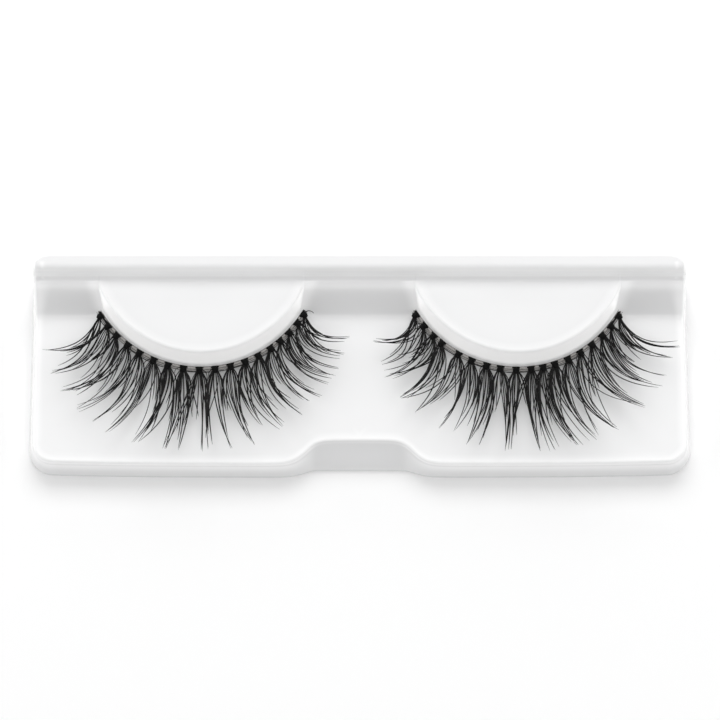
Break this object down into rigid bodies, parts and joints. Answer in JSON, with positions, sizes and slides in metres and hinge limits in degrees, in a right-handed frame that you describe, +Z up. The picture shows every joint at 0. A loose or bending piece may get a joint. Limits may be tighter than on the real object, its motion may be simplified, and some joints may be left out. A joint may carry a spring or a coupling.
{
  "type": "pair of false eyelash strips on a plastic tray",
  "caption": "Two wispy knotted strip lashes, each round the side of a half-moon pad on a thin moulded tray with a rear bar and a front finger notch.",
  "frame": {"origin": "middle of the tray's bounding box, on the plane that its foot rests on", "axes": "+X along the tray's long side, +Y towards the bar, +Z up out of the foot"},
  "size_m": [0.0918, 0.0302, 0.01],
  "materials": {
    "tray_plastic": "glossy white moulded sheet plastic, open underneath",
    "clear_band": "clear flexible band with fine threads in it",
    "lash_hair": "black synthetic hair, satin sheen"
  },
  "bodies": {
    "root": {"tray": "tray_plastic", "left_band": "clear_band", "left_cluster_01": "lash_hair", "left_cluster_02": "lash_hair", "left_cluster_03": "lash_hair", "left_cluster_04": "lash_hair", "left_cluster_05": "lash_hair", "left_cluster_06": "lash_hair", "left_cluster_07": "lash_hair", "left_cluster_08": "lash_hair", "left_cluster_09": "lash_hair", "left_cluster_10": "lash_hair", "left_cluster_11": "lash_hair", "left_cluster_12": "lash_hair", "left_cluster_13": "lash_hair", "left_cluster_14": "lash_hair", "left_cluster_15": "lash_hair", "left_cluster_16": "lash_hair", "left_cluster_17": "lash_hair", "left_cluster_18": "lash_hair", "right_band": "clear_band", "right_cluster_01": "lash_hair", "right_cluster_02": "lash_hair", "right_cluster_03": "lash_hair", "right_cluster_04": "lash_hair", "right_cluster_05": "lash_hair", "right_cluster_06": "lash_hair", "right_cluster_07": "lash_hair", "right_cluster_08": "lash_hair", "right_cluster_09": "lash_hair", "right_cluster_10": "lash_hair", "right_cluster_11": "lash_hair", "right_cluster_12": "lash_hair", "right_cluster_13": "lash_hair", "right_cluster_14": "lash_hair", "right_cluster_15": "lash_hair", "right_cluster_16": "lash_hair", "right_cluster_17": "lash_hair", "right_cluster_18": "lash_hair"}
  },
  "joints": []
}
